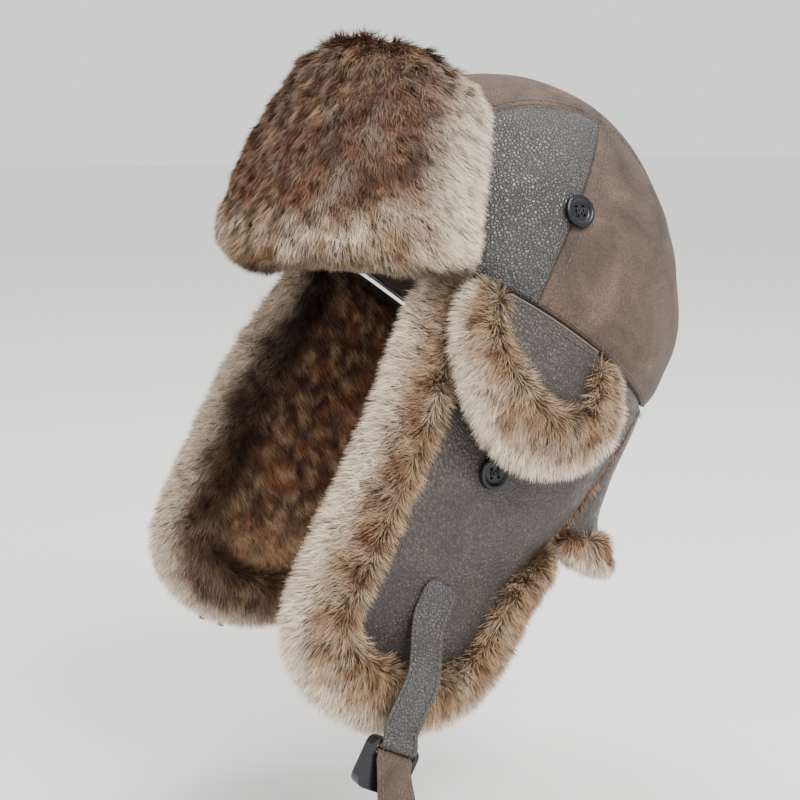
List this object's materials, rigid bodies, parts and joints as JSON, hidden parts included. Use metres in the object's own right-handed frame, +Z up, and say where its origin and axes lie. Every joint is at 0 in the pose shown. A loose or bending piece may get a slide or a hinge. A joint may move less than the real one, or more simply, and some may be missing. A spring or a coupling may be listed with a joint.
{
  "type": "trapper hat",
  "caption": "Trapper hat with a leather crown, a turned-up fur visor, fur-lined ear flaps with folded ear covers, a neck curtain and a buckled chin strap.",
  "frame": {"origin": "centre of the head opening at the hat line, where the hat sits on a head", "axes": "+Z up, -Y out of the face opening, +X towards the wearer's left"},
  "size_m": [0.2324, 0.2706, 0.4104],
  "materials": {
    "gloss_leather": "glossy pebbled leather",
    "matte_leather": "matte distressed leather",
    "fur": "long-pile artificial fur",
    "wadding": "soft wadding",
    "lining": "smooth quilted lining",
    "black_plastic": "polished black plastic"
  },
  "bodies": {
    "crown": {"crown_center_strip": "matte_leather", "crown_front_panel_left": "gloss_leather", "crown_front_panel_right": "gloss_leather", "crown_rear_panel_left": "matte_leather", "crown_rear_panel_right": "matte_leather", "crown_wadding": "wadding", "crown_lining": "lining", "sweatband": "lining", "crown_button_left": "black_plastic", "crown_button_right": "black_plastic"},
    "visor": {"visor_leather": "matte_leather", "visor_stiffener": "wadding", "visor_fur": "fur"},
    "neck_curtain": {"neck_curtain_leather": "matte_leather", "neck_curtain_fur_lining": "fur", "neck_curtain_fur_hem": "fur"},
    "ear_flap_left": {"ear_flap_leather_left": "matte_leather", "ear_flap_fur_lining_left": "fur", "ear_flap_fur_border_left": "fur", "ear_flap_button_left": "black_plastic", "strap_tab_left": "gloss_leather"},
    "ear_cover_left": {"ear_cover_leather_left": "matte_leather", "ear_cover_fur_lining_left": "fur", "ear_cover_fur_border_left": "fur", "ear_cover_loop_left": "black_plastic"},
    "chin_strap_left": {"chin_strap_left": "gloss_leather"},
    "buckle_left": {"buckle_socket_left": "black_plastic"},
    "ear_flap_right": {"ear_flap_leather_right": "matte_leather", "ear_flap_fur_lining_right": "fur", "ear_flap_fur_border_right": "fur", "ear_flap_button_right": "black_plastic", "strap_tab_right": "gloss_leather"},
    "ear_cover_right": {"ear_cover_leather_right": "matte_leather", "ear_cover_fur_lining_right": "fur", "ear_cover_fur_border_right": "fur", "ear_cover_loop_right": "black_plastic"},
    "chin_strap_right": {"chin_strap_right": "gloss_leather"},
    "buckle_right": {"buckle_plug_right": "black_plastic"},
    "strap_tail_left": {"strap_tail_left": "matte_leather"}
  },
  "joints": [
    {"name": "visor_fold", "type": "hinge", "parent": "crown", "child": "visor", "pos_m": [0, -0.11785, 0.04], "axis": [1, 0, 0], "range_deg": [0, 115]},
    {"name": "curtain_fold", "type": "hinge", "parent": "crown", "child": "neck_curtain", "pos_m": [0, 0.106, -0.046], "axis": [1, 0, 0], "range_deg": [0, 150]},
    {"name": "ear_flap_fold_left", "type": "hinge", "parent": "crown", "child": "ear_flap_left", "pos_m": [0.11, 0, 0.00181], "axis": [0, -0.8763, 0.4817], "range_deg": [0, 160]},
    {"name": "ear_cover_fold_left", "type": "hinge", "parent": "ear_flap_left", "child": "ear_cover_left", "pos_m": [0.104, 0, 0.00181], "axis": [0, -0.8763, 0.4817], "range_deg": [0, 160]},
    {"name": "chin_strap_bend_left", "type": "hinge", "parent": "ear_flap_left", "child": "chin_strap_left", "pos_m": [0.09055, -0.09591, -0.14114], "axis": [0, -0.8763, 0.4817], "range_deg": [0, 90]},
    {"name": "buckle_swing_left", "type": "hinge", "parent": "chin_strap_left", "child": "buckle_left", "pos_m": [0.10624, -0.11588, -0.17683], "axis": [0, -0.8763, 0.4817], "range_deg": [-20, 30]},
    {"name": "ear_flap_fold_right", "type": "hinge", "parent": "crown", "child": "ear_flap_right", "pos_m": [-0.11, 0, 0.00181], "axis": [0, 0.8763, -0.4817], "range_deg": [0, 160]},
    {"name": "ear_cover_fold_right", "type": "hinge", "parent": "ear_flap_right", "child": "ear_cover_right", "pos_m": [-0.104, 0, 0.00181], "axis": [0, 0.8763, -0.4817], "range_deg": [0, 160]},
    {"name": "chin_strap_bend_right", "type": "hinge", "parent": "ear_flap_right", "child": "chin_strap_right", "pos_m": [-0.09055, -0.09591, -0.14114], "axis": [0, 0.8763, -0.4817], "range_deg": [0, 90]},
    {"name": "buckle_swing_right", "type": "hinge", "parent": "chin_strap_right", "child": "buckle_right", "pos_m": [-0.10624, -0.10865, -0.16369], "axis": [0, 0.8763, -0.4817], "range_deg": [-20, 30]},
    {"name": "strap_tail_swing_left", "type": "hinge", "parent": "buckle_left", "child": "strap_tail_left", "pos_m": [0.10954, -0.11646, -0.17777], "axis": [0, -0.8763, 0.4817], "range_deg": [0, 45]}
  ]
}
